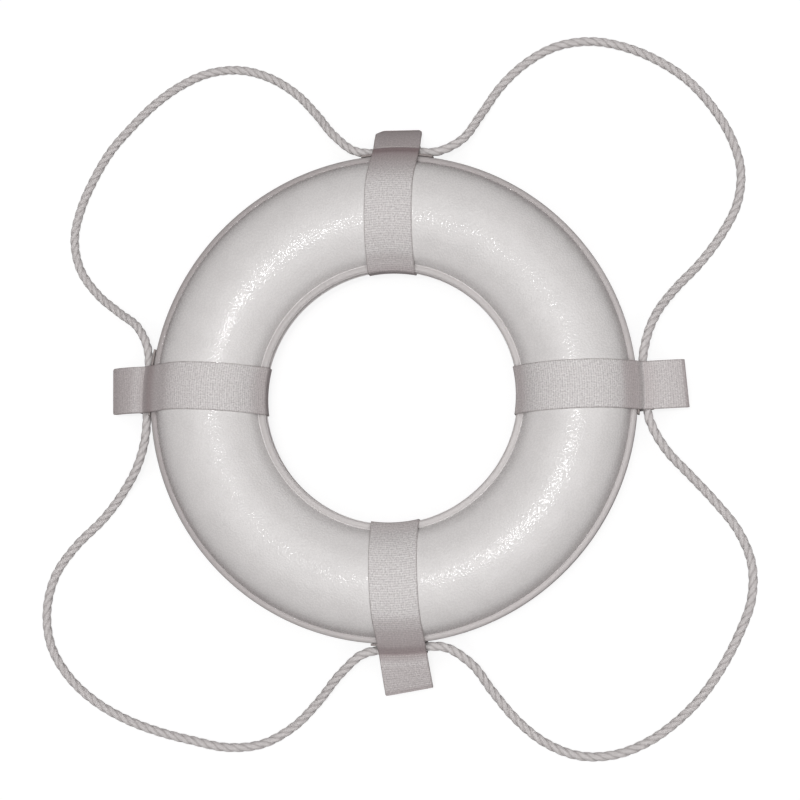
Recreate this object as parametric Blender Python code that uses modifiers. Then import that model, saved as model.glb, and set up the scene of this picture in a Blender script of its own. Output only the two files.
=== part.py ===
import math

import bmesh
import bpy
from mathutils import Matrix, Vector
from mathutils.geometry import convex_hull_2d, interpolate_bezier

# All sizes in metres, all angles in degrees.
# The ring lies flat: +Z is its axis, and the origin is its centre on the seam plane.

# Ring
RING_DIAMETER = 0.508
HOLE_DIAMETER = 0.263
RING_THICKNESS = 0.078
SEAM_BAND_HEIGHT = 0.016
SEAM_BAND_EDGE = 0.002
OUTER_BAND_DEPTH = 0.0043
INNER_BAND_DEPTH = 0.0058
SKIN_WALL = 0.002
RING_STEPS = 48
SECTION_FACETS = 15
WALL_FACETS = 8

# Webbing straps and their tabs
STRAP_WIDTH = 0.050
STRAP_THICKNESS = 0.0014
STRAP_CLEARANCE = 0.0007
STRAP_STRIPS = 4
TAB_LENGTH = 0.037
TAB_STRAIGHT = 0.006
TAB_BENDS = 3

# Rope and the pads behind it
ROPE_DIAMETER = 0.0095
ROPE_CLEARANCE = 0.0004
ROPE_HELD_PAST_STRAP = 0.001
HINGE_DISTANCE = 0.079
LOOP_SPACING = 0.021
HELD_SPACING = 0.012
PAD_THICKNESS = 0.0022
PAD_HEIGHT = 0.015
PAD_STEPS = 8

# Seam thread that joins the two ends of a strap
THREAD_DIAMETER = 0.001
STITCH_COUNT = 6
STITCH_LINE = 0.003
STITCH_TO_SELVEDGE = 0.006

# Gap that keeps touching pieces apart
GAP = 0.0003

# Fineness of curved shapes: points on each span of the rope's smooth curve, and the angles of
# the rings on a rope's round end and of the points where a strap goes over the rope
SPAN_POINTS = 9
BALL_RINGS = (30, 55, 75)
WRAP_ANGLES = (15, 30, 45, 60, 75)

# Each strap: its direction from the centre, how far its tab leans sideways, how much the tab's
# edge is turned, the tab's slope at the seam and at its edge, and how far its rope pad reaches
# along the band on both sides of the strap's middle line
STRAPS = {
    "east": {"azimuth": 1.75, "lean": 1.2, "edge_turn": -4.5, "slopes": (2, 16), "pad": (-0.0295, 0.0225)},
    "north": {"azimuth": 89.05, "lean": 0, "edge_turn": 0, "slopes": (30, 76), "pad": (-0.0415, 0.034)},
    "west": {"azimuth": 177.2, "lean": 3.2, "edge_turn": -4.5, "slopes": (12, 42), "pad": (-0.04, 0.03)},
    "south": {"azimuth": 272.5, "lean": 8.2, "edge_turn": -9.5, "slopes": (0, 0), "pad": (-0.03, 0.04)},
}

# Each free stretch of rope, clockwise from strap to strap. The places on its route are x, y and
# how far it has come down from the seam plane, 0, to the ground that the ring lies on, 1
LOOPS = {
    "northeast": ("north", "east", (
        (0.044, 0.259, 0.01), (0.072, 0.272, 0.26), (0.093, 0.303, 0.72), (0.113, 0.334, 1),
        (0.140, 0.359, 1), (0.173, 0.376, 1), (0.210, 0.380, 1), (0.246, 0.372, 1),
        (0.280, 0.356, 1), (0.310, 0.334, 1), (0.334, 0.306, 1), (0.353, 0.273, 1),
        (0.363, 0.238, 1), (0.359, 0.201, 1), (0.342, 0.168, 1), (0.319, 0.138, 1),
        (0.294, 0.111, 0.72), (0.273, 0.081, 0.26), (0.261, 0.051, 0.01),
    )),
    "southeast": ("east", "south", (
        (0.2632, -0.031, 0.01), (0.2795, -0.056, 0.26), (0.306, -0.083, 0.72), (0.331, -0.110, 1),
        (0.353, -0.139, 1), (0.366, -0.173, 1), (0.365, -0.209, 1), (0.352, -0.244, 1),
        (0.335, -0.276, 1), (0.314, -0.306, 1), (0.288, -0.332, 1), (0.258, -0.353, 1),
        (0.224, -0.366, 1), (0.188, -0.367, 1), (0.154, -0.354, 1), (0.125, -0.331, 1),
        (0.102, -0.303, 0.72), (0.080, -0.274, 0.26), (0.052, -0.259, 0.02),
    )),
    "southwest": ("south", "west", (
        (-0.027, -0.2635, 0.01), (-0.053, -0.2835, 0.26), (-0.079, -0.313, 0.74), (-0.107, -0.340, 1),
        (-0.140, -0.358, 1), (-0.178, -0.362, 1), (-0.216, -0.355, 1), (-0.253, -0.346, 1),
        (-0.289, -0.333, 1), (-0.323, -0.314, 1), (-0.351, -0.289, 1), (-0.371, -0.256, 1),
        (-0.376, -0.219, 1), (-0.367, -0.182, 1), (-0.345, -0.151, 1), (-0.317, -0.124, 1),
        (-0.292, -0.095, 0.74), (-0.271, -0.063, 0.26), (-0.262, -0.033, 0.01),
    )),
    "northwest": ("west", "north", (
        (-0.259, 0.053, 0.03), (-0.271, 0.081, 0.25), (-0.299, 0.099, 0.70), (-0.326, 0.121, 0.99),
        (-0.346, 0.149, 1), (-0.353, 0.183, 1), (-0.346, 0.217, 1), (-0.332, 0.249, 1),
        (-0.314, 0.279, 1), (-0.291, 0.305, 1), (-0.266, 0.329, 1), (-0.237, 0.349, 1),
        (-0.205, 0.362, 1), (-0.170, 0.364, 1), (-0.137, 0.354, 1), (-0.108, 0.335, 0.99),
        (-0.084, 0.309, 0.70), (-0.062, 0.2815, 0.26), (-0.036, 0.262, 0.01),
    )),
}

# Sizes that follow from those above
BAND_OUTER = RING_DIAMETER / 2
BAND_INNER = HOLE_DIAMETER / 2
TUBE_OUTER = BAND_OUTER - OUTER_BAND_DEPTH
TUBE_INNER = BAND_INNER + INNER_BAND_DEPTH
TUBE_RADIUS = (TUBE_OUTER + TUBE_INNER) / 2
TUBE_HALF_WIDTH = (TUBE_OUTER - TUBE_INNER) / 2
# The top and bottom facets of the section are flat and lie at the full thickness
TUBE_HALF_HEIGHT = RING_THICKNESS / 2 / math.cos(math.pi / SECTION_FACETS / 2)
ROPE_RADIUS = ROPE_DIAMETER / 2
PAD_INNER = BAND_OUTER + GAP
PAD_OUTER = PAD_INNER + PAD_THICKNESS
ROPE_TRACK = PAD_OUTER + ROPE_CLEARANCE + ROPE_RADIUS
ROPE_TUNNEL = ROPE_RADIUS + ROPE_CLEARANCE
TAB_ROOT = ROPE_TRACK + ROPE_TUNNEL + GAP
GROUND = -(RING_THICKNESS / 2 + STRAP_CLEARANCE + STRAP_THICKNESS)
ROPE_ON_GROUND = GROUND + ROPE_RADIUS
# Half of the length over which a strap makes the rope follow the ring
ROPE_HELD = STRAP_WIDTH / 2 + ROPE_HELD_PAST_STRAP

COLOURS = {
    "vinyl": (0.62, 0.59, 0.57),
    "foam": (0.80, 0.74, 0.55),
    "webbing": (0.40, 0.39, 0.38),
    "rope": (0.48, 0.47, 0.46),
    "thread": (0.55, 0.54, 0.52),
}
ROUGHNESS = {"vinyl": 0.45, "foam": 0.95, "webbing": 0.85, "rope": 0.8, "thread": 0.7}


def add_piece(name, data, kind, collection):
    """Link an object with its own material."""
    piece = bpy.data.objects.new(name, data)
    collection.objects.link(piece)
    material = bpy.data.materials.new(name + "_" + kind)
    material.use_nodes = True
    shader = material.node_tree.nodes["Principled BSDF"]
    shader.inputs["Base Color"].default_value = (*COLOURS[kind], 1)
    shader.inputs["Roughness"].default_value = ROUGHNESS[kind]
    shader.inputs["Metallic"].default_value = 0
    data.materials.append(material)
    return piece


def section_point(angle, inset=0.0):
    """Radius and height on the tube's oval section, moved inwards by inset.

    The angle is 0 at the outside of the ring and a quarter turn at its top.
    """
    radius = TUBE_RADIUS + (TUBE_HALF_WIDTH - inset) * math.cos(angle)
    height = (TUBE_HALF_HEIGHT - inset) * math.sin(angle)
    return radius, height


def upper_section(facets, inset=0.0):
    """Upper half of the section from outside to inside, without its two points on the seam."""
    return [section_point(math.pi * step / facets, inset) for step in range(1, facets)]


def band_section(radius, root_radius):
    """Upper half of a seam band, from its rim to where it meets the tube."""
    half = SEAM_BAND_HEIGHT / 2
    edge = math.copysign(SEAM_BAND_EDGE, root_radius - radius)
    return [
        (radius, GAP / 2),
        (radius, half - SEAM_BAND_EDGE),
        (radius + edge, half),
        (root_radius, half),
    ]


def turn_profile(name, profile, kind, collection):
    """Turn a closed profile once round the Z axis.

    The profile runs from top to bottom on its outer side.
    """
    shape = bmesh.new()
    corners = [shape.verts.new((radius, 0, height)) for radius, height in profile]
    for index, corner in enumerate(corners):
        shape.edges.new((corners[index - 1], corner))
    mesh = bpy.data.meshes.new(name)
    shape.to_mesh(mesh)
    shape.free()
    piece = add_piece(name, mesh, kind, collection)
    screw = piece.modifiers.new("Turn", "SCREW")
    screw.axis = "Z"
    screw.steps = RING_STEPS
    screw.render_steps = RING_STEPS
    screw.use_merge_vertices = True
    screw.merge_threshold = 0.00001
    screw.use_smooth_shade = True


def make_skins(collection):
    """The two shells, each with its half of both seam bands."""
    tube = upper_section(SECTION_FACETS)
    outer_band = band_section(BAND_OUTER, tube[0][0])
    inner_band = band_section(BAND_INNER, tube[-1][0])
    wall = [(TUBE_OUTER - SKIN_WALL, GAP / 2)]
    wall += upper_section(WALL_FACETS, SKIN_WALL)
    wall.append((TUBE_INNER + SKIN_WALL, GAP / 2))
    upper = outer_band + tube[1:-1] + inner_band[::-1] + wall[::-1]
    lower = [(radius, -height) for radius, height in upper]
    turn_profile("upper_skin", upper[::-1], "vinyl", collection)
    turn_profile("lower_skin", lower, "vinyl", collection)


def make_core(collection):
    """The foam that fills both shells."""
    upper = upper_section(WALL_FACETS, SKIN_WALL + GAP)
    inside = section_point(math.pi, SKIN_WALL + GAP)
    outside = section_point(0, SKIN_WALL + GAP)
    lower = [(radius, -height) for radius, height in upper]
    profile = [outside] + lower + [inside] + upper[::-1]
    turn_profile("foam_core", profile, "foam", collection)


def taut_outline():
    """Upper half of a strap's inner face, from the seam behind the rope to the hole.

    Pulled tight, the webbing follows the convex outline of all that it goes round.
    """
    hole_side = BAND_INNER - STRAP_CLEARANCE
    band_top = SEAM_BAND_HEIGHT / 2 + STRAP_CLEARANCE
    points = [(TAB_ROOT, GAP / 2), (hole_side, band_top), (BAND_OUTER, band_top)]
    points.append((PAD_OUTER, PAD_HEIGHT / 2 + STRAP_CLEARANCE))
    points += upper_section(SECTION_FACETS, -STRAP_CLEARANCE)
    for angle in map(math.radians, WRAP_ANGLES):
        points.append((ROPE_TRACK + ROPE_TUNNEL * math.cos(angle), ROPE_TUNNEL * math.sin(angle)))
    base = [(TAB_ROOT, 0.0), (hole_side, 0.0)]
    hull = convex_hull_2d(points + base)
    outline = [points[index] for index in hull if index < len(points)]
    return sorted(outline, key=lambda point: math.atan2(point[1], point[0] - TUBE_RADIUS))


def strap_place(strap, outward, across, height):
    """Where a place on a strap lies on the ring.

    Up to the seam, outward is the distance from the ring's axis and height is above the seam
    plane. The strap is bent round the ring there. Past the seam, outward runs along the tab.
    """
    along = max(0.0, outward - TAB_ROOT)
    straight = min(along, TAB_STRAIGHT)
    share = (along - straight) / (TAB_LENGTH - TAB_STRAIGHT)
    start, end = (math.radians(slope) for slope in strap["slopes"])
    half_turn = (end - start) * share / 2
    chord = along - straight
    if half_turn:
        chord *= math.sin(half_turn) / half_turn
    slope = start + 2 * half_turn if along else 0.0
    run = straight * math.cos(start) + chord * math.cos(start + half_turn)
    drop = straight * math.sin(start) + chord * math.sin(start + half_turn)
    foot = outward - along
    sag = foot - math.sqrt(foot * foot - across * across)
    turned_edge = across * math.tan(math.radians(strap["edge_turn"])) * share
    x = foot + run - sag * (1 - share) + height * math.sin(slope) + turned_edge
    y = across + run * math.tan(math.radians(strap["lean"]))
    z = height * math.cos(slope) - drop
    azimuth = math.radians(strap["azimuth"])
    return Vector((
        x * math.cos(azimuth) - y * math.sin(azimuth),
        x * math.sin(azimuth) + y * math.cos(azimuth),
        z,
    ))


def stitch_places():
    """Places of the stitches across a strap."""
    first = STITCH_TO_SELVEDGE - STRAP_WIDTH / 2
    return [first - 2 * first * index / (STITCH_COUNT - 1) for index in range(STITCH_COUNT)]


def make_needle_holes(name, strap, cutters):
    """One cutter for all the holes that the thread of a strap goes through."""
    reach = GAP + 2 * STRAP_THICKNESS
    radius = (THREAD_DIAMETER / 2 + GAP) / math.cos(math.pi / 6)
    shape = bmesh.new()
    for across in stitch_places():
        low = strap_place(strap, TAB_ROOT + STITCH_LINE, across, -reach)
        high = strap_place(strap, TAB_ROOT + STITCH_LINE, across, reach)
        hole = bmesh.ops.create_cone(
            shape, cap_ends=True, segments=6, radius1=radius, radius2=radius, depth=2 * reach
        )
        turn = (high - low).to_track_quat("Z", "X").to_matrix()
        bmesh.ops.rotate(shape, verts=hole["verts"], cent=(0, 0, 0), matrix=turn)
        bmesh.ops.translate(shape, verts=hole["verts"], vec=(low + high) / 2)
    mesh = bpy.data.meshes.new("needle_holes_" + name)
    shape.to_mesh(mesh)
    shape.free()
    cutter = bpy.data.objects.new(mesh.name, mesh)
    cutter.hide_render = True
    cutter.display_type = "WIRE"
    cutters.objects.link(cutter)
    return cutter


def make_strap(name, strap, collection, cutters):
    """One length of webbing round the ring and the rope, its ends together as a tab."""
    bending = [TAB_ROOT + TAB_STRAIGHT]
    for bend in range(1, TAB_BENDS + 1):
        bending.append(bending[0] + (TAB_LENGTH - TAB_STRAIGHT) * bend / TAB_BENDS)
    upper = [(outward, GAP / 2) for outward in reversed(bending)] + taut_outline()
    path = upper + [(outward, -height) for outward, height in reversed(upper)]
    shape = bmesh.new()
    row = [shape.verts.new((outward, -STRAP_WIDTH / 2, height)) for outward, height in path]
    edges = [shape.edges.new(ends) for ends in zip(row, row[1:])]
    for _ in range(STRAP_STRIPS):
        grown = bmesh.ops.extrude_edge_only(shape, edges=edges)["geom"]
        moved = [item for item in grown if isinstance(item, bmesh.types.BMVert)]
        edges = [item for item in grown if isinstance(item, bmesh.types.BMEdge)]
        bmesh.ops.translate(shape, verts=moved, vec=(0, STRAP_WIDTH / STRAP_STRIPS, 0))
    for corner in shape.verts:
        corner.co = strap_place(strap, *corner.co)
    mesh = bpy.data.meshes.new("strap_" + name)
    shape.to_mesh(mesh)
    shape.free()
    piece = add_piece(mesh.name, mesh, "webbing", collection)
    solidify = piece.modifiers.new("Thickness", "SOLIDIFY")
    solidify.thickness = STRAP_THICKNESS
    solidify.offset = 1
    solidify.use_even_offset = True
    holes = piece.modifiers.new("Needle holes", "BOOLEAN")
    holes.operation = "DIFFERENCE"
    holes.solver = "EXACT"
    holes.object = make_needle_holes(name, strap, cutters)


def make_tube(name, points, diameter, resolution, kind, collection, radii=None, origin=Vector()):
    """A round tube along straight runs between points, closed at its ends."""
    curve = bpy.data.curves.new(name, "CURVE")
    curve.dimensions = "3D"
    curve.bevel_depth = diameter / 2
    curve.bevel_resolution = resolution
    curve.use_fill_caps = True
    spline = curve.splines.new("POLY")
    spline.points.add(len(points) - 1)
    for index, point in enumerate(points):
        spline.points[index].co = (*(point - origin), 1)
        spline.points[index].radius = radii[index] if radii else 1
    piece = add_piece(name, curve, kind, collection)
    piece.location = origin


def make_stitching(name, strap, collection):
    """The seam thread, which runs over and under both layers in turn."""
    height = GAP / 2 + STRAP_THICKNESS + GAP + THREAD_DIAMETER / 2
    side = 1
    points = []
    for across in stitch_places():
        points.append(strap_place(strap, TAB_ROOT + STITCH_LINE, across, -side * height))
        points.append(strap_place(strap, TAB_ROOT + STITCH_LINE, across, side * height))
        side = -side
    make_tube("strap_stitching_" + name, points, THREAD_DIAMETER, 1, "thread", collection)


def make_pad(name, strap, collection):
    """A short strip of webbing on the seam band, behind the rope."""
    shape = bmesh.new()
    azimuth = math.radians(strap["azimuth"])
    start, end = (azimuth + reach / PAD_INNER for reach in strap["pad"])
    bmesh.ops.create_grid(shape, x_segments=1, y_segments=1, size=0.5)
    for corner in shape.verts:
        radius = (PAD_INNER + PAD_OUTER) / 2 + corner.co.x * PAD_THICKNESS
        corner.co = (radius, 0, corner.co.y * PAD_HEIGHT)
    turn = Matrix.Rotation(start, 3, "Z")
    bmesh.ops.rotate(shape, verts=shape.verts, cent=(0, 0, 0), matrix=turn)
    section = [*shape.verts, *shape.edges, *shape.faces]
    bmesh.ops.spin(
        shape, geom=section, cent=(0, 0, 0), axis=(0, 0, 1), angle=end - start, steps=PAD_STEPS
    )
    bmesh.ops.recalc_face_normals(shape, faces=shape.faces)
    mesh = bpy.data.meshes.new("rope_pad_" + name)
    shape.to_mesh(mesh)
    shape.free()
    add_piece(mesh.name, mesh, "webbing", collection)


def held_place(strap, distance):
    """Place on the rope's track round the ring, a distance from a strap's middle line."""
    angle = math.radians(strap["azimuth"]) + distance / ROPE_TRACK
    return Vector((ROPE_TRACK * math.cos(angle), ROPE_TRACK * math.sin(angle), 0))


def loop_line(name):
    """Fine points on the smooth curve of a loop, from the middle of one strap to the next.

    Where a strap holds the rope, it runs square to the ring's radius.
    """
    first, last, route = LOOPS[name]
    held = (0, ROPE_HELD / 2, ROPE_HELD)
    points = [held_place(STRAPS[first], -distance) for distance in held]
    points += [Vector((x, y, down * ROPE_ON_GROUND)) for x, y, down in route]
    points += [held_place(STRAPS[last], distance) for distance in reversed(held)]
    lengths = [(after - before).length for before, after in zip(points, points[1:])]
    courses = [(after - before) / length for before, after, length in zip(points, points[1:], lengths)]
    slopes = [courses[0]]
    for index in range(1, len(courses)):
        before, after = lengths[index - 1], lengths[index]
        slopes.append((courses[index - 1] * after + courses[index] * before) / (before + after))
    slopes.append(courses[-1])
    for index in (*range(len(held)), *range(-len(held), 0)):
        slopes[index] = points[index].cross(Vector((0, 0, 1))).normalized()
    line = [points[0]]
    for index, length in enumerate(lengths):
        start, end = points[index], points[index + 1]
        handle_out = start + slopes[index] * length / 3
        handle_in = end - slopes[index + 1] * length / 3
        line += interpolate_bezier(start, handle_out, handle_in, end, SPAN_POINTS)[1:]
    for point in line:
        point.z = max(point.z, ROPE_ON_GROUND)
    return line


def line_length(line):
    return sum((after - before).length for before, after in zip(line, line[1:]))


def stretch_of_line(line, start, end, spacing):
    """Even points on a line between two distances from its beginning."""
    count = math.ceil((end - start) / spacing)
    wanted = [start + (end - start) * index / count for index in range(count + 1)]
    points = []
    passed = 0.0
    for before, after in zip(line, line[1:]):
        length = (after - before).length
        while wanted and wanted[0] <= passed + length:
            points.append(before.lerp(after, (wanted.pop(0) - passed) / length))
        passed += length
    return points


def rounded_ends(points):
    """Points and radii of a rope whose ends are balls round its first and last points."""
    start_course = (points[0] - points[1]).normalized()
    end_course = (points[-1] - points[-2]).normalized()
    angles = [math.radians(degrees) for degrees in BALL_RINGS]
    reaches = [ROPE_RADIUS * math.sin(angle) for angle in angles]
    opening = [points[0] + start_course * reach for reach in reversed(reaches)]
    closing = [points[-1] + end_course * reach for reach in reaches]
    narrowing = [math.cos(angle) for angle in angles]
    radii = narrowing[::-1] + [1.0] * len(points) + narrowing
    return opening + points + closing, radii


def make_grab_loop(name, collection):
    """A free stretch of rope, which swings about the line through its two ends."""
    line = loop_line(name)
    end = line_length(line) - HINGE_DISTANCE
    points = stretch_of_line(line, HINGE_DISTANCE, end, LOOP_SPACING)
    hinge_middle = (points[0] + points[-1]) / 2
    points, radii = rounded_ends(points)
    make_tube("grab_loop_" + name, points, ROPE_DIAMETER, 2, "rope", collection, radii, hinge_middle)


def make_held_rope(name, collection):
    """The stretch of rope that a strap holds, up to the loops on both sides."""
    before = next(loop for loop, ends in LOOPS.items() if ends[1] == name)
    after = next(loop for loop, ends in LOOPS.items() if ends[0] == name)
    line = loop_line(before)
    middle = line_length(line)
    line += loop_line(after)[1:]
    reach = HINGE_DISTANCE - ROPE_DIAMETER - GAP
    points = stretch_of_line(line, middle - reach, middle + reach, HELD_SPACING)
    points, radii = rounded_ends(points)
    make_tube("rope_at_" + name + "_strap", points, ROPE_DIAMETER, 2, "rope", collection, radii)


def main():
    for piece in list(bpy.data.objects):
        bpy.data.objects.remove(piece, do_unlink=True)
    ring = bpy.data.collections.new("life_ring")
    cutters = bpy.data.collections.new("cutters")
    bpy.context.scene.collection.children.link(ring)
    bpy.context.scene.collection.children.link(cutters)
    make_core(ring)
    make_skins(ring)
    for name, strap in STRAPS.items():
        make_strap(name, strap, ring, cutters)
        make_stitching(name, strap, ring)
        make_pad(name, strap, ring)
        make_held_rope(name, ring)
    for name in LOOPS:
        make_grab_loop(name, ring)


main()
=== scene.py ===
import math

import bmesh
import bpy
import numpy as np
from mathutils import Matrix, Vector
from mathutils.geometry import convex_hull_2d, interpolate_bezier


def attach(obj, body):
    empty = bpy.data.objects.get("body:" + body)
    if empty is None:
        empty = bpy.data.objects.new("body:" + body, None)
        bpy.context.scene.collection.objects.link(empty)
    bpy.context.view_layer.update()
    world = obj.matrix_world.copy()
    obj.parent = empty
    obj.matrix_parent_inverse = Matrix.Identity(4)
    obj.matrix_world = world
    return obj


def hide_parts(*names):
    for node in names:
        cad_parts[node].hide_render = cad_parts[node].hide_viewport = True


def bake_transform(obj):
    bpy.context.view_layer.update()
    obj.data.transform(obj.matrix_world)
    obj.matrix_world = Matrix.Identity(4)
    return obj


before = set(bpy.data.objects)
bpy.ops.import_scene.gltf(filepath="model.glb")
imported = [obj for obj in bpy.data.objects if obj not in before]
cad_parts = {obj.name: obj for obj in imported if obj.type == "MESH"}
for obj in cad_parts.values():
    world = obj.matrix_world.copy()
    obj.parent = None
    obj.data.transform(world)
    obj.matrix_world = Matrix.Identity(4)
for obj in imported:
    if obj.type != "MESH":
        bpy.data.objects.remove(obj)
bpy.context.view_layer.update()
print("life ring: frame loaded with", len(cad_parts), "nodes")

# Everything is in metres and degrees. The ring lies flat on the floor, its axis is +Z


def linear(hexColour):
    channels = [int(hexColour[i:i + 2], 16) / 255 for i in (1, 3, 5)]
    return (*(c / 12.92 if c <= 0.04045 else ((c + 0.055) / 1.055) ** 2.4 for c in channels), 1)


def addNode(material, kind, inputs=None, **settings):
    # a node with its settings; each input is a value, a socket or a node whose first output is used
    tree = material.node_tree
    node = tree.nodes.new("ShaderNode" + kind)
    for name, value in settings.items():
        setattr(node, name, value)
    for name, value in (inputs or {}).items():
        if isinstance(value, bpy.types.Node):
            value = value.outputs[0]
        if isinstance(value, bpy.types.NodeSocket):
            tree.links.new(value, node.inputs[name])
        else:
            node.inputs[name].default_value = value
    return node


def newMaterial(name):
    # a material whose node tree is still empty
    material = bpy.data.materials.new(name)
    material.use_nodes = True
    material.node_tree.nodes.clear()
    return material


def smoothStep(low, high, value):
    share = min(1.0, max(0.0, (value - low) / (high - low)))
    return share * share * (3 - 2 * share)


def finishPiece(name, shape, material, nodes, sharpFrom, body="ring"):
    # from bmesh to a shaded object that stands for its CAD nodes
    mesh = bpy.data.meshes.new(name)
    shape.to_mesh(mesh)
    shape.free()
    mesh.materials.append(material)
    mesh.shade_smooth()
    mesh.set_sharp_from_angle(angle=math.radians(sharpFrom))
    piece = bpy.data.objects.new(name, mesh)
    bpy.context.scene.collection.objects.link(piece)
    if body:
        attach(piece, body)
    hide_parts(*nodes)
    return piece


# camera, at the photo's place
view = {"eye": Vector((0.288, -0.231, 2.0)), "lens": 88.37, "shift": (0.01179, -0.00399)}


def makeCamera():
    back = view["eye"].normalized()
    right = Vector((0, 1, 0)).cross(back).normalized()
    turn = Matrix((right, back.cross(right), back)).transposed()
    data = bpy.data.cameras.new("photoCamera")
    data.lens = view["lens"]
    data.shift_x, data.shift_y = view["shift"]
    camera = bpy.data.objects.new("photoCamera", data)
    camera.matrix_world = Matrix.Translation(view["eye"]) @ turn.to_4x4()
    bpy.context.scene.collection.objects.link(camera)
    bpy.context.scene.camera = camera


makeCamera()
print("life ring: camera")

# straps' places, which the ropes and pads need too
floorHeight = -0.0411
# azimuth, crease, tab: the strap's direction, the radius of its crease behind the rope, the tab's length
# lean, drift, edgeTurn: the tab's lean to the side, the shift at the crease, the turn of the tab's end
# pad, ropeDown, exits: the rope pad's reach, the rope's depth below the seam, how far it moves out there
# fold: how round the upper layer's last bend is; corners: width and length of what the tab's corners lack
# slopes, and the table of painted shade: how steep the tab is and how much shade is painted on the webbing
# (its steep parts, the crease behind the rope, its end in the hole, tabs that tilt away from the lamps), each
# at distances from the crease
# A value for both sides of a strap has the clockwise side first
straps = {
    "east": {"azimuth": 1.72, "lean": 1.4, "drift": -0.0004, "edgeTurn": -3.8, "pad": (-0.0295, 0.0225),
             "crease": 0.2595, "tab": 0.0445, "ropeDown": 0.0056, "exits": (0.0030, 0.0006), "fold": 8,
             "strapShade": ((-0.127, 0.38), (-0.124, 0.49), (-0.121, 0.43), (-0.115, 0.14), (-0.109, 0.01),
                      (-0.025, 0), (-0.022, 0.03), (-0.019, 0.3), (-0.016, 0.45), (-0.01, 0.54),
                      (-0.007, 0.51), (-0.004, 0.43), (-0.0005, 0.06), (0.003, 0.45), (0.0055, 0.38),
                      (0.0125, 0.28), (0.0205, 0.19), (0.0395, 0.27), (0.043, 0.53), (0.045, 0.55)),
             "slopes": ((0, 3), (0.010, 4), (0.039, 12), (0.0445, 45)), "corners": ((0.0006, 0.0006),) * 2},
    "north": {"azimuth": 89.2, "lean": 3.5, "drift": -0.0026, "edgeTurn": 0, "pad": (-0.0415, 0.034),
              "crease": 0.2615, "tab": 0.0427, "ropeDown": 0.0075, "exits": (0, 0), "fold": 3.6,
              "strapShade": ((-0.127, 0.44), (-0.124, 0.29), (-0.121, 0.26), (-0.118, 0.27), (-0.115, 0.17),
                       (-0.112, 0.03), (-0.109, 0), (-0.1, 0.08), (-0.043, 0.02), (-0.037, 0.15),
                       (-0.034, 0.16), (-0.031, 0.25), (-0.028, 0.27), (-0.019, 0.45), (-0.016, 0.57),
                       (-0.01, 0.73), (-0.007, 0.84), (-0.004, 1), (-0.0005, 1), (0.002, 0.62),
                       (0.0035, 0.52), (0.034, 0.52), (0.0395, 0.7), (0.0427, 1)),
              "slopes": ((0, 40), (0.008, 44), (0.0427, 61)),
              "corners": ((0.0032, 0.0065), (0.0078, 0.0104))},
    "west": {"azimuth": 176.9, "lean": 2.8, "drift": 0.0024, "edgeTurn": -4.6, "pad": (-0.04, 0.03),
             "crease": 0.2625, "tab": 0.0427, "ropeDown": 0.0065, "exits": (0.0015, 0), "fold": 5,
             "strapShade": ((-0.13, 0.46), (-0.127, 0.38), (-0.124, 0.37), (-0.121, 0.28), (-0.115, 0.02),
                      (-0.103, 0.01), (-0.043, 0.11), (-0.034, 0.22), (-0.031, 0.31), (-0.028, 0.35),
                      (-0.022, 0.39), (-0.019, 0.38), (-0.016, 0.45), (-0.01, 0.74), (-0.007, 0.75),
                      (-0.004, 0.61), (-0.0005, 0.55), (0.0012, 0.42), (0.005, 0.34), (0.0095, 0.22),
                      (0.0175, 0.42), (0.03, 0.46), (0.043, 0.5)),
             "slopes": ((0, 12), (0.008, 14), (0.0417, 42)), "corners": ((0.003, 0.0034), (0.0026, 0.003))},
    "south": {"azimuth": 272.4, "lean": 4.4, "drift": 0.0015, "edgeTurn": -9.3, "pad": (-0.03, 0.015),
              "crease": 0.2632, "tab": 0.0427, "ropeDown": 0.0065, "exits": (0, -0.0020), "fold": 3.6,
              "strapShade": ((-0.13, 0.36), (-0.127, 0.25), (-0.121, 0.15), (-0.115, 0), (-0.04, 0),
                       (-0.037, 0.05), (-0.031, 0.3), (-0.028, 0.24), (-0.025, 0.3), (-0.022, 0.44),
                       (-0.016, 0.49), (-0.007, 0.63), (-0.004, 0.76), (0, 0.83), (0.003, 0.66),
                       (0.006, 0.47), (0.009, 0.32), (0.012, 0.2), (0.015, 0.32), (0.0375, 0.33),
                       (0.0398, 0.52), (0.0427, 0.55)),
              "slopes": ((0, 14), (0.008, 20), (0.045, 28)), "corners": ((0.0022, 0.0022), (0.0005, 0.0005))},
}

# grab rope: three-strand laid rope, one free stretch from strap to strap
rope = {
    "diameter": 0.0095,
    "radius": 0.00475,       # over the crowns of the strands
    "lay": {"northeast": 0.0319, "southeast": 0.0326,  # one full turn of the strands
            "southwest": 0.0329, "northwest": 0.0298},
    "yarn": 0.00099,         # from one yarn to the next, which makes 30 round the rope
    "sectionSpacing": 0.0011,
    "sides": 24,
    "lobeReach": 0.31,       # how far each strand's middle lies from the rope's, as a share of its radius
    "squeezed": 0.86,        # the straps pull the rope this small
    "squeezeEnd": (0.016, 0.030),  # and let it go between these distances from their middle
    "track": 0.2615,         # radius of the ring of rope under the straps
    "exitZone": (0.008, 0.025),    # it moves out to a strap's exits between these distances from its middle
    "held": 0.026,           # a strap guides it up to this far from its middle
    "spanPoints": 9,         # on the curve from one place of the route to the next
    "hinge": 0.079,          # along the rope from a strap's middle to where the loop comes free
    "bendWidth": 0.060,      # the width over which the rope would bend if a loop were lifted
}
ropeOnFloor = floorHeight + rope["diameter"] / 2
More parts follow.
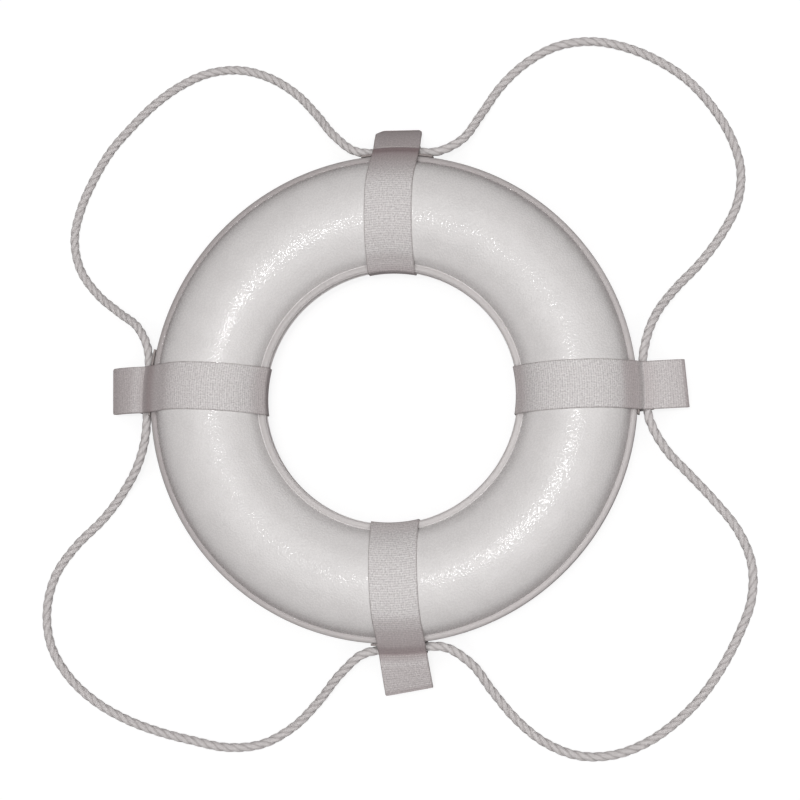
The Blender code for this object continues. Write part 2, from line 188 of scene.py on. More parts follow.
# places on each stretch: x, y and how far it has come down from the seam plane, 0, to the floor, 1
loops = {
    "northeast": ("north", "east", (
        (0.044, 0.259, 0.01), (0.072, 0.272, 0.26), (0.093, 0.303, 0.72), (0.113, 0.334, 1),
        (0.140, 0.359, 1), (0.173, 0.376, 1), (0.210, 0.380, 1), (0.246, 0.372, 1),
        (0.280, 0.356, 1), (0.310, 0.334, 1), (0.334, 0.306, 1), (0.353, 0.273, 1),
        (0.363, 0.238, 1), (0.359, 0.201, 1), (0.342, 0.168, 1), (0.319, 0.138, 1),
        (0.2938, 0.111, 0.72), (0.2728, 0.081, 0.26), (0.2622, 0.051, 0.01),
    )),
    "southeast": ("east", "south", (
        (0.2648, -0.0245, 0), (0.2690, -0.036, 0.04), (0.2812, -0.0565, 0.27),
        (0.306, -0.083, 0.72), (0.331, -0.110, 1),
        (0.353, -0.139, 1), (0.366, -0.173, 1), (0.365, -0.209, 1), (0.352, -0.244, 1),
        (0.335, -0.276, 1), (0.314, -0.306, 1), (0.288, -0.332, 1), (0.258, -0.353, 1),
        (0.224, -0.366, 1), (0.188, -0.367, 1), (0.154, -0.354, 1), (0.125, -0.331, 1),
        (0.102, -0.303, 0.72), (0.080, -0.273, 0.26), (0.052, -0.2567, 0.02),
    )),
    "southwest": ("south", "west", (
        (-0.027, -0.2635, 0.01), (-0.053, -0.2835, 0.26), (-0.079, -0.313, 0.74), (-0.107, -0.340, 1),
        (-0.140, -0.358, 1), (-0.178, -0.362, 1), (-0.216, -0.355, 1), (-0.253, -0.346, 1),
        (-0.289, -0.333, 1), (-0.323, -0.314, 1), (-0.351, -0.289, 1), (-0.371, -0.256, 1),
        (-0.376, -0.219, 1), (-0.367, -0.182, 1), (-0.345, -0.151, 1), (-0.317, -0.124, 1),
        (-0.292, -0.095, 0.74), (-0.271, -0.063, 0.26), (-0.262, -0.033, 0.01),
    )),
    "northwest": ("west", "north", (
        (-0.2608, 0.053, 0.03), (-0.2740, 0.080, 0.25), (-0.299, 0.099, 0.70), (-0.326, 0.121, 0.99),
        (-0.346, 0.149, 1), (-0.353, 0.183, 1), (-0.346, 0.217, 1), (-0.332, 0.249, 1),
        (-0.314, 0.279, 1), (-0.291, 0.305, 1), (-0.266, 0.329, 1), (-0.237, 0.349, 1),
        (-0.205, 0.362, 1), (-0.170, 0.364, 1), (-0.137, 0.354, 1), (-0.108, 0.335, 0.99),
        (-0.084, 0.309, 0.70), (-0.062, 0.2815, 0.26), (-0.036, 0.262, 0.01),
    )),
}


def ropeShift(strap, across):
    # how much further out than its track the rope lies, this far from the strap's middle
    return strap["exits"][1 if across > 0 else 0] * smoothStep(*rope["exitZone"], abs(across))


def heldPlace(strap, distance):
    # on the rope's track round the ring, a distance from the strap's middle
    angle = math.radians(strap["azimuth"]) + distance / rope["track"]
    radius = rope["track"] + ropeShift(strap, distance)
    return Vector((radius * math.cos(angle), radius * math.sin(angle), -strap["ropeDown"]))


def ropeLine(name):
    # fine points on the smooth curve from the middle of one strap to the next
    first, last, route = loops[name]
    held = (0, rope["held"] / 2, rope["held"])
    points = [heldPlace(straps[first], -distance) for distance in held]
    for index, (x, y, down) in enumerate(route):
        start = -straps[first if index < len(route) / 2 else last]["ropeDown"]
        points.append(Vector((x, y, start + (ropeOnFloor - start) * down)))
    points += [heldPlace(straps[last], distance) for distance in reversed(held)]
    spans = [after - before for before, after in zip(points, points[1:])]
    lengths = [span.length for span in spans]
    courses = [span.normalized() for span in spans]
    slopes = [courses[0]]
    for index in range(1, len(spans)):
        before, after = lengths[index - 1], lengths[index]
        slopes.append((courses[index - 1] * after + courses[index] * before) / (before + after))
    slopes.append(courses[-1])
    for index in (0, 1, 2, -3, -2, -1):  # square to the radius where a strap holds it
        slopes[index] = points[index].cross(Vector((0, 0, 1))).normalized()
    line = [points[0]]
    for index, length in enumerate(lengths):
        start, end = points[index], points[index + 1]
        line += interpolate_bezier(start, start + slopes[index] * length / 3,
                                   end - slopes[index + 1] * length / 3, end, rope["spanPoints"])[1:]
    for point in line:
        point.z = max(point.z, ropeOnFloor)
    return line


def evenPoints(line, spacing):
    # points a set distance apart along a line, and how far along it each one is
    line = np.array(line)
    passed = np.r_[0, np.cumsum(np.linalg.norm(np.diff(line, axis=0), axis=1))]
    along = np.linspace(0, passed[-1], round(passed[-1] / spacing) + 1)
    return np.stack([np.interp(along, passed, line[:, axis]) for axis in range(line.shape[1])], 1), along


def smoothLine(line, width):
    # rounds the corners of an even line; its ends stay
    reach = int(3 * width)
    weights = np.exp(-0.5 * (np.arange(-reach, reach + 1) / width) ** 2)
    weights /= weights.sum()
    before = 2 * line[0] - line[reach:0:-1]
    after = 2 * line[-1] - line[-2:-reach - 2:-1]
    padded = np.concatenate([before, line, after])
    return np.stack([np.convolve(padded[:, axis], weights, "valid") for axis in range(line.shape[1])], 1)


def directionsOf(line):
    # which way an even line goes at each of its points
    steps = np.gradient(line, axis=0)
    return steps / np.linalg.norm(steps, axis=1)[:, None]


def drawOut(shape, spacing, steps):
    # draws a section out along X in even steps and closes its ends
    drawn = bmesh.ops.extrude_edge_only(shape, edges=list(shape.edges))["geom"]
    far = [item for item in drawn if isinstance(item, bmesh.types.BMVert)]
    bmesh.ops.translate(shape, verts=far, vec=(spacing * steps, 0, 0))
    lengthways = [edge for edge in shape.edges if edge.calc_length() > spacing * steps * 0.99]
    bmesh.ops.subdivide_edges(shape, edges=lengthways, cuts=steps - 1, use_grid_fill=True)
    bmesh.ops.holes_fill(shape, edges=[edge for edge in shape.edges if edge.is_boundary], sides=0)
    bmesh.ops.recalc_face_normals(shape, faces=shape.faces)


def ropeMaterial():
    # twisted nylon staple, laid: soft and matt, with painted shade between the strands, fine yarns along it
    material = newMaterial("laidNylonRope")
    place = addNode(material, "UVMap", uv_map="UVMap").outputs["UV"]
    around = addNode(material, "SeparateXYZ", {"Vector": place}).outputs["Y"]
    # a little noise keeps the yarns from being ruler-straight
    wander = addNode(material, "TexNoise", {"Vector": addNode(material, "Mapping", {
        "Vector": place, "Scale": (140, 140, 1)}), "Scale": 1, "Detail": 2})
    wandered = addNode(material, "Math", {0: wander, 1: 0.0011, 2: around}, operation="MULTIPLY_ADD")
    yarn = addNode(material, "Math", {0: addNode(material, "Math", {
        0: wandered, 1: 2 * math.pi / rope["yarn"]}, operation="MULTIPLY")}, operation="SINE")
    fibre = addNode(material, "TexNoise", {"Vector": addNode(material, "Mapping", {
        "Vector": place, "Scale": (500, 2600, 1)}), "Scale": 1, "Detail": 3, "Roughness": 0.7})
    strand = addNode(material, "Attribute", attribute_name="strand").outputs["Fac"]
    # painted shade: the colour darkens from the strands' crowns down into the grooves between them
    depth = addNode(material, "MapRange", {"Value": strand, "From Min": 0.05, "From Max": 0.75},
                    interpolation_type="SMOOTHSTEP")
    shade = addNode(material, "Mix", {0: depth, 6: linear("#C4BFBE"), 7: linear("#DDD9D8")}, data_type="RGBA")
    speckle = addNode(material, "MapRange", {"Value": fibre, "From Min": 0.3, "From Max": 0.7,
                                             "To Min": 0.80, "To Max": 1.08})
    colour = addNode(material, "Mix", {0: 1.0, 6: shade.outputs[2], 7: speckle}, data_type="RGBA",
                     blend_type="MULTIPLY")
    height = addNode(material, "Math", {0: fibre, 1: 1.5, 2: yarn}, operation="MULTIPLY_ADD")
    bump = addNode(material, "Bump", {"Height": height, "Distance": 0.00009, "Strength": 0.9})
    shader = addNode(material, "BsdfPrincipled", {
        "Base Color": colour.outputs[2], "Roughness": 0.75, "Normal": bump,
        "Sheen Weight": 0.30, "Sheen Roughness": 0.5, "Specular IOR Level": 0.35})
    addNode(material, "OutputMaterial", {"Surface": shader})
    return material


def makeRope(name, material):
    line, along = evenPoints(ropeLine(name), rope["sectionSpacing"])
    line, along = line[:-1], along[:-1]  # the next stretch goes on from here, under the strap
    radius, reach = rope["radius"], rope["lobeReach"]
    # a straight rope with the section of three strands, which is twisted as it is bent onto the route
    shape = bmesh.new()
    bmesh.ops.create_circle(shape, segments=rope["sides"], radius=radius)
    third = 2 * math.pi / 3
    for vert in shape.verts:
        angle = math.atan2(vert.co.y, vert.co.x) % third
        angle = min(angle, third - angle)  # from the crown of the nearest strand
        vert.co *= reach * math.cos(angle) + math.sqrt((1 - reach) ** 2 - (reach * math.sin(angle)) ** 2)
    bmesh.ops.rotate(shape, verts=shape.verts, cent=(0, 0, 0), matrix=Matrix.Rotation(math.pi / 2, 3, "Y"))
    spacing = along[1]
    drawOut(shape, spacing, len(along) - 1)
    # the pattern's own map and the height on the strand, while the rope is straight
    pattern = shape.loops.layers.uv.new("UVMap")
    strand = shape.verts.layers.float.new("strand")
    lowest = min(math.hypot(vert.co.y, vert.co.z) for vert in shape.verts)
    for vert in shape.verts:
        vert[strand] = (math.hypot(vert.co.y, vert.co.z) - lowest) / (radius - lowest)
    for face in shape.faces:
        angles = [math.atan2(loop.vert.co.z, loop.vert.co.y) for loop in face.loops]
        for loop, angle in zip(face.loops, angles):
            if max(angles) - min(angles) > math.pi and angle < 0:
                angle += 2 * math.pi
            loop[pattern].uv = (loop.vert.co.x, angle * radius)
    # bent onto the route, and squeezed where a strap holds it
    courses = directionsOf(line)
    sides = np.cross((0, 0, 1), courses)
    sides /= np.linalg.norm(sides, axis=1)[:, None]
    ups = np.cross(courses, sides)
    eased = np.array([smoothStep(*rope["squeezeEnd"], min(passed, along[-1] - passed)) for passed in along])
    squeezes = rope["squeezed"] + (1 - rope["squeezed"]) * eased
    inward = (1 - squeezes) * radius
    flat = line * (1, 1, 0)
    line = line - flat / np.linalg.norm(flat, axis=1)[:, None] * inward[:, None]
    for vert in shape.verts:
        index = min(len(line) - 1, round(vert.co.x / spacing))
        turn = 2 * math.pi * vert.co.x / rope["lay"][name]
        side = vert.co.y * math.cos(turn) - vert.co.z * math.sin(turn)
        up = vert.co.y * math.sin(turn) + vert.co.z * math.cos(turn)
        vert.co = line[index] + (sides[index] * side + ups[index] * up) * squeezes[index]
    piece = finishPiece("grab_rope_" + name, shape, material,
                        ("grab_loop_" + name, "rope_at_" + loops[name][0] + "_strap"), 180, body=None)
    # the two places where the loop comes free, the middle between them and which way is outward
    hinge = [Vector(line[np.searchsorted(along, distance)])
             for distance in (rope["hinge"], along[-1] - rope["hinge"])]
    middle = (hinge[0] + hinge[1]) / 2
    outward = (hinge[1] - hinge[0]).cross(Vector((0, 0, -1))).normalized()
    if outward.dot(middle) < 0:
        outward = -outward
    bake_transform(piece)


nylonRope = ropeMaterial()
for loopName in loops:
    makeRope(loopName, nylonRope)
    print("life ring: grab rope", loopName)

# ring: two moulded vinyl shells on a foam core
ring = {
    "outer": 0.254, "inner": 0.1320,  # radii of the seam band
    "tube": 0.1937, "halfWidth": 0.0552, "halfHeight": 0.039,  # the oval section: its radius and half axes
    "bandHalf": 0.008,
    "outerRound": (0.0041, 0.0032),   # width and height of the bead's rounding at the rim
    "innerRound": (0.0032, 0.0030),
    "groove": 0.0007, "grooveWidth": 0.0013,
    "grooveShape": ((1, 0), (0.7, 0.35), (0.35, 0.95)),  # shares of its width and depth
    "partingGap": 0.0003, "partingChamfer": 0.0004,
    "wall": 0.002,           # the foam fills what is inside it
    "steps": 288, "beadSteps": 8, "arcSteps": 72, "liningSteps": 24,
}


def tubePoint(angle, inset=0.0):
    return (ring["tube"] + (ring["halfWidth"] - inset) * math.cos(angle),
            (ring["halfHeight"] - inset) * math.sin(angle))


def beadProfile(rim, rounding, side):
    # from the parting line over the bead to the groove beside the tube; side is 1 at the outside
    width, height = rounding
    base = ring["partingGap"] / 2
    points = [(rim - side * ring["partingChamfer"], base), (rim, base + ring["partingChamfer"])]
    centre = (rim - side * width, ring["bandHalf"] - height)
    for step in range(ring["beadSteps"] + 1):
        angle = math.radians(90 * step / ring["beadSteps"])
        points.append((centre[0] + side * width * math.cos(angle), centre[1] + height * math.sin(angle)))
    root = math.asin((ring["bandHalf"] - ring["groove"]) / ring["halfHeight"])
    if side < 0:
        root = math.pi - root
    foot = tubePoint(root)[0]
    points += [(foot + side * ring["grooveWidth"] * out, ring["bandHalf"] - ring["groove"] * down)
               for out, down in ring["grooveShape"]]
    return points, root


def makeSkin(name, side, material):
    outerBead, start = beadProfile(ring["outer"], ring["outerRound"], 1)
    innerBead, end = beadProfile(ring["inner"], ring["innerRound"], -1)
    count, inset = ring["arcSteps"], ring["wall"]
    profile = outerBead + [tubePoint(start + (end - start) * step / count) for step in range(count + 1)]
    profile += innerBead[::-1]
    low = math.asin(ring["partingGap"] / 2 / (ring["halfHeight"] - inset))
    count = ring["liningSteps"]
    profile += [tubePoint(math.pi - low - (math.pi - 2 * low) * step / count, inset)
                for step in range(count + 1)]
    shape = bmesh.new()
    corners = [shape.verts.new((radius, 0, height * side)) for radius, height in profile]
    edges = [shape.edges.new((corners[index - 1], corners[index])) for index in range(len(corners))]
    bmesh.ops.spin(shape, geom=corners + edges, cent=(0, 0, 0), axis=(0, 0, 1), angle=2 * math.pi,
                   steps=ring["steps"], use_merge=True)
    bmesh.ops.remove_doubles(shape, verts=shape.verts, dist=0.000005)
    bmesh.ops.recalc_face_normals(shape, faces=shape.faces)
    finishPiece(name + "_shell", shape, material, (name + "_skin",), 50)


def vinylMaterial():
    # soft PVC, rotomoulded in a grained tool: satin, with a pebbled grain that breaks up the highlights
    material = newMaterial("grainedMouldedVinyl")
    place = addNode(material, "TexCoord").outputs["Object"]
    parts = addNode(material, "SeparateXYZ", {"Vector": place})
    east, north = parts.outputs["X"], parts.outputs["Y"]
    radius = addNode(material, "VectorMath", {0: addNode(material, "CombineXYZ", {"X": east, "Y": north})},
                     operation="LENGTH").outputs["Value"]
    # leather-like pebbles about 1.9 mm across with finer wrinkles between them
    pebble = addNode(material, "TexNoise", {"Vector": place, "Scale": 1 / 0.0019, "Detail": 1,
                                            "Roughness": 0.5})
    wrinkle = addNode(material, "TexNoise", {"Vector": place, "Scale": 1 / 0.0011, "Detail": 2,
                                             "Roughness": 0.6})
    grain = addNode(material, "Math", {0: wrinkle, 1: 0.15, 2: pebble}, operation="MULTIPLY_ADD")
    cloud = addNode(material, "TexNoise", {"Vector": place, "Scale": 1 / 0.022, "Detail": 4,
                                           "Roughness": 0.6})
    tone = addNode(material, "MapRange", {"Value": cloud, "From Min": 0.3, "From Max": 0.7})
    colour = addNode(material, "Mix", {0: tone, 6: linear("#D4D2D1"), 7: linear("#DAD8D7")}, data_type="RGBA")
    # the two seam bands are coloured greyer, and painted shade darkens the surface in and beside the grooves
    inside = addNode(material, "MapRange", {"Value": radius, "From Min": 0.1380, "From Max": 0.1392,
                                            "To Min": 1, "To Max": 0}, interpolation_type="SMOOTHSTEP")
    outside = addNode(material, "MapRange", {"Value": radius, "From Min": 0.2484, "From Max": 0.2496},
                      interpolation_type="SMOOTHSTEP")
    band = addNode(material, "Math", {0: inside, 1: outside}, operation="MAXIMUM")
    # painted light: the band's face in the hole is coloured pale, though the lamps barely reach it
    face = addNode(material, "MapRange", {"Value": radius, "From Min": 0.1322, "From Max": 0.1330},
                   interpolation_type="SMOOTHSTEP")
    # painted shade: the seam bands are coloured darker on the north-west side, which faces away from the
    # lamps
    northWest = addNode(material, "MapRange", {
        "Value": addNode(material, "Math", {0: north, 1: east}, operation="SUBTRACT"),
        "From Min": -0.34, "From Max": 0.34})
    rim = addNode(material, "Mix", {0: northWest, 6: linear("#C6C2C1"), 7: linear("#B1ADAC")},
                  data_type="RGBA")
    bandColour = addNode(material, "Mix", {0: face, 6: linear("#EEEBEA"), 7: rim.outputs[2]},
                         data_type="RGBA")
    # painted light: the flank beside the hole is coloured paler towards the hole
    innerFlankLight = addNode(material, "MapRange", {"Value": radius, "From Min": 0.140, "From Max": 0.166,
                                               "To Min": 0.55, "To Max": 0}, interpolation_type="SMOOTHSTEP")
    colour = addNode(material, "Mix", {0: innerFlankLight, 6: colour.outputs[2], 7: linear("#E9E7E6")},
                     data_type="RGBA")
    banded = addNode(material, "Mix", {0: band, 6: colour.outputs[2], 7: bandColour.outputs[2]},
                     data_type="RGBA")
    # painted shade in a warm dark colour, in and beside both grooves, stronger on the north-west side of the
    # outer groove
    grooveShade = 0.0
    outerShadeShare = addNode(material, "MapRange", {"Value": northWest, "To Min": 0.6, "To Max": 1.35})
    for grooveRadius, nearest, further, share in ((0.2478, 0.55, 0.32, outerShadeShare), (0.1394, 0.14, 0.03, 1.0)):
        away = addNode(material, "Math", {0: addNode(material, "Math", {
            0: radius, 1: grooveRadius}, operation="SUBTRACT")}, operation="ABSOLUTE")
        for reach, amount in ((0.0018, nearest), (0.0085, further)):
            grooveShadeStep = addNode(material, "MapRange", {"Value": away, "From Min": 0, "From Max": reach,
                                                  "To Min": amount, "To Max": 0},
                           interpolation_type="SMOOTHSTEP")
            grooveShadeStep = addNode(material, "Math", {0: grooveShadeStep, 1: share}, operation="MULTIPLY")
            grooveShade = addNode(material, "Math", {0: grooveShade, 1: grooveShadeStep}, operation="MAXIMUM")
    finished = addNode(material, "Mix", {0: grooveShade, 6: banded.outputs[2], 7: linear("#7A6B6B")},
                       data_type="RGBA")
    # the tops of the pebbles are rubbed smooth and glint, the hollows stay dull
    gloss = addNode(material, "MapRange", {"Value": pebble, "From Min": 0.44, "From Max": 0.51,
                                           "To Min": 0.50, "To Max": 0.15}, interpolation_type="SMOOTHSTEP")
    gloss = addNode(material, "Math", {0: gloss, 1: addNode(material, "Math", {0: band, 1: 0.5},
                                                            operation="MULTIPLY")}, operation="MAXIMUM")
    bump = addNode(material, "Bump", {"Height": grain, "Distance": 0.00031, "Strength": 1.0})
    shader = addNode(material, "BsdfPrincipled", {
        "Base Color": finished.outputs[2], "Roughness": gloss, "Normal": bump, "IOR": 1.53})
    addNode(material, "OutputMaterial", {"Surface": shader})
    return material


vinyl = vinylMaterial()
makeSkin("upper", 1, vinyl)
makeSkin("lower", -1, vinyl)


def foamMaterial():
    # closed-cell buoyancy foam: matt, with cells of about a millimetre; the shells hide it
    material = newMaterial("closedCellFoam")
    place = addNode(material, "TexCoord").outputs["Object"]
    cell = addNode(material, "TexVoronoi", {"Vector": place, "Scale": 1 / 0.001}).outputs["Distance"]
    colour = addNode(material, "Mix", {0: cell, 6: linear("#E6DDBE"), 7: linear("#CFC39B")}, data_type="RGBA")
    bump = addNode(material, "Bump", {"Height": cell, "Distance": 0.0003})
    shader = addNode(material, "BsdfPrincipled", {
        "Base Color": colour.outputs[2], "Roughness": 0.95, "Normal": bump})
    addNode(material, "OutputMaterial", {"Surface": shader})
    return material


foam = foamMaterial()
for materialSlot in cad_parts["foam_core"].material_slots:
    materialSlot.material = foam
print("life ring: shells and core")

# webbing straps, each one length pulled round ring and rope and doubled to a tab
webbing = {
    "width": 0.0495, "thickness": 0.0014,
    "clearance": 0.00035,    # between webbing and ring
    "gap": 0.0003,           # between the tab's two layers
    "seam": 0.0008,          # the lower layer comes up to the upper one this far past the rope
    "tunnel": (0.0044, 0.0050),  # radius round the rope in the middle and at the selvedges
    "tunnelZone": (0.010, 0.025),    # where it changes from one to the other
    "bandRounding": (0.001, 0.002),  # what the seam band's corners lack, in the hole and outside
    "padCorner": (0.2565, 0.0075),   # radius and height of the rope pads' top edge
    "pathStep": 0.0003,
    "fold": 3.6,             # how round the bends are, in steps of the path
    "lastBend": 0.016, "lastBendFade": 20,  # where the strap's own fold ends, and in how many steps it fades
    "creaseZone": (-0.0022, 0.0018),  # the slope starts here, from the crease
    "cupZone": (0.0022, 0.0052),      # what lies this deep is cupped round the rope
    "turnFrom": 0.006,       # the tab's end is turned from here on
    "driftFrom": 0.215,      # the strap starts to shift to the side at this radius
    "tabSteps": 400, "tabSpare": 0.002,  # places along the tab, which go on a little past its end
    "shortenFrom": 0.013,    # the tab's corners are cut within this length
    "cutStraight": 0.005,    # a corner that lacks more than this is cut off straight, others are rounded
    "rib": 0.0024, "ribDepth": 0.00006, "rowsPerRib": 4,
    "ribFade": 0.0015,       # the ribs run out this far from the edge
    "warp": 0.00125,         # from one warp yarn to the next
    "selvedge": (0.0016, 0.0006),    # its zone of painted shade, from the edge
    # the section's points: on the upper face, round the selvedge in radians, on the lower face
    "upper": (0, 0.0032, 0.0064, 0.0096, 0.0128, 0.0156, 0.0179, 0.0198, 0.0213, 0.0225, 0.0234, 0.0241),
    "rolled": (1.2, 0.6, 0, -0.6, -1.2),
    "lower": (0.0238, 0.021, 0.015, 0.0075, 0),
}


def hullOutline(root, extra):
    # upper half of the convex outline round the section of the ring, from a place behind the rope
    clearance = webbing["clearance"]
    hole, bandTop = ring["inner"] - clearance, ring["bandHalf"] + clearance
    inHole, outside = webbing["bandRounding"]
    padRadius, padTop = webbing["padCorner"]
    points = [(root, webbing["gap"] / 2), (hole, bandTop - inHole), (ring["outer"] - outside, bandTop),
              (padRadius, padTop + clearance)]
    points += [tubePoint(math.radians(degree), -clearance) for degree in range(4, 177)]
    points += extra
    hull = convex_hull_2d(points + [(root, 0.0), (hole, 0.0)])
    return sorted((points[index] for index in hull if index < len(points)),
                  key=lambda point: math.atan2(point[1], point[0] - ring["tube"]))


def tautPath(strap, tunnel, shift):
    # inner face of the webbing as one even line: in along the tab's upper layer, over the ring, through
    # the hole, back below the ring and round the rope, and out along the tab's lower layer
    down = strap["ropeDown"]
    track = rope["track"] + shift
    bent = [(track + tunnel * math.cos(math.radians(degree)),
             down + tunnel * math.sin(math.radians(degree))) for degree in range(-10, 150, 4)]
    upper = hullOutline(strap["crease"], [])
    lower = hullOutline(track + tunnel + webbing["seam"], bent)
    end = (strap["crease"] + strap["tab"], webbing["gap"] / 2)
    path = [end] + upper + [(outward, -height) for outward, height in reversed([end] + lower)]
    path = evenPoints(path, webbing["pathStep"])[0]
    crisp, soft = smoothLine(path, webbing["fold"]), smoothLine(path, strap["fold"])
    inner = np.argmax(path[:, 0] < strap["crease"] - webbing["lastBend"])
    share = np.clip((inner - np.arange(len(path))) / webbing["lastBendFade"], 0, 1)[:, None]
    return crisp * (1 - share) + soft * share


def tabCourse(strap):
    # even places along the tab, its slope at each, and how far out and down it has gone
    along = np.linspace(0, strap["tab"] + webbing["tabSpare"], webbing["tabSteps"])
    slopes = np.radians(np.interp(along, *zip(*strap["slopes"])))
    step = along[1]
    return along, slopes, np.cumsum(np.cos(slopes)) * step, np.cumsum(np.sin(slopes)) * step


def strapPlace(strap, course, outward, across, height):
    # where a place on a strap lies; past the crease, outward runs along the tab
    crease, tab = strap["crease"], strap["tab"]
    along = max(0.0, outward - crease)
    distances, slopes, runs, drops = course
    run, drop = (np.interp(along, distances, values) if along else 0 for values in (runs, drops))
    slope = np.interp(along, distances, slopes) * smoothStep(*webbing["creaseZone"], outward - crease)
    # the part that goes round the rope from below isn't bent with the tab
    bent = 1 - smoothStep(*webbing["cupZone"], -height)
    foot = outward - along
    sag = foot - math.sqrt(foot * foot - across * across)
    turn = math.tan(math.radians(strap["edgeTurn"])) * max(0, along - webbing["turnFrom"]) / tab
    out = along + (run + height * math.sin(slope) - along) * bent
    x = foot + out - sag * (1 - smoothStep(0, tab, along)) + across * turn
    y = across + run * math.tan(math.radians(strap["lean"]))
    y += strap["drift"] * smoothStep(webbing["driftFrom"], crease, outward)
    z = height + (height * math.cos(slope) - drop - height) * bent
    azimuth = math.radians(strap["azimuth"])
    return Vector((x * math.cos(azimuth) - y * math.sin(azimuth),
                   x * math.sin(azimuth) + y * math.cos(azimuth), z))


def cornerCut(strap, across):
    # how much shorter the tab is at this place across it
    width, length = strap["corners"][1 if across > 0 else 0]
    into = (abs(across) - (webbing["width"] / 2 - width)) / width
    if into <= 0:
        return 0.0
    if length > webbing["cutStraight"]:
        return length * min(1.0, into)
    return length * (1 - math.sqrt(max(0.0, 1 - min(1.0, into) ** 2)))


def makeStrap(name, material):
    strap = straps[name]
    middleTunnel, edgeTunnel = webbing["tunnel"]
    # the webbing's path in its middle and at both selvedges, each in the same number of rows
    paths = [tautPath(strap, middleTunnel, 0)]
    paths += [tautPath(strap, edgeTunnel, shift) for shift in strap["exits"]]
    lengths = [np.linalg.norm(np.diff(path, axis=0), axis=1).sum() for path in paths]
    rows = round(lengths[0] / webbing["rib"] * webbing["rowsPerRib"])
    paths = [evenPoints(path, length / rows)[0] for path, length in zip(paths, lengths)]
    normals = [directionsOf(path)[:, ::-1] * (1, -1) for path in paths]
    spacing = lengths[0] / rows
    course = tabCourse(strap)
    # the webbing's section: both faces, and the rolled selvedges between them
    half, thickness = webbing["width"] / 2, webbing["thickness"]
    right = [(across, thickness) for across in webbing["upper"]]
    right += [(half - thickness / 2 + thickness / 2 * math.cos(angle), thickness / 2 * (1 + math.sin(angle)))
              for angle in webbing["rolled"]]
    right += [(across, 0) for across in webbing["lower"]]
    section = right + [(-across, height) for across, height in right[-2:0:-1]]
    shape = bmesh.new()
    corners = [shape.verts.new((0, across, height)) for across, height in section]
    for index, corner in enumerate(corners):
        shape.edges.new((corners[index - 1], corner))
    drawOut(shape, spacing, rows)
    pattern = shape.loops.layers.uv.new("UVMap")
    # painted shade for each vertex, read from the strap's table
    strapShade = shape.verts.layers.float.new("strapShade")
    places = {}
    for vert in shape.verts:
        row = round(vert.co.x / spacing)
        across, height = vert.co.y, vert.co.z
        share = smoothStep(*webbing["tunnelZone"], abs(across))
        nearest = 2 if across > 0 else 1
        foot = paths[0][row] * (1 - share) + paths[nearest][row] * share
        normal = normals[0][row] * (1 - share) + normals[nearest][row] * share
        along = foot[0] - strap["crease"]
        zone = (along - strap["tab"] + webbing["shortenFrom"]) / webbing["shortenFrom"]
        shortened = cornerCut(strap, across) * max(0.0, zone)
        fromMiddle = row * spacing - lengths[0] / 2
        place = fromMiddle - math.copysign(shortened, fromMiddle)
        vert[strapShade] = np.interp(along, *zip(*strap["strapShade"]))
        places[vert.index] = (place, across)
        if height > thickness / 2:
            dip = 0.5 - 0.5 * math.cos(2 * math.pi * place / webbing["rib"])
            height -= webbing["ribDepth"] * dip * smoothStep(half, half - webbing["ribFade"], abs(across))
        flat = foot + normal * height
        vert.co = strapPlace(strap, course, flat[0] - shortened, across, flat[1])
    for face in shape.faces:
        for loop in face.loops:
            loop[pattern].uv = places[loop.vert.index]
    finishPiece("webbing_strap_" + name, shape, material, ("strap_" + name,), 60)


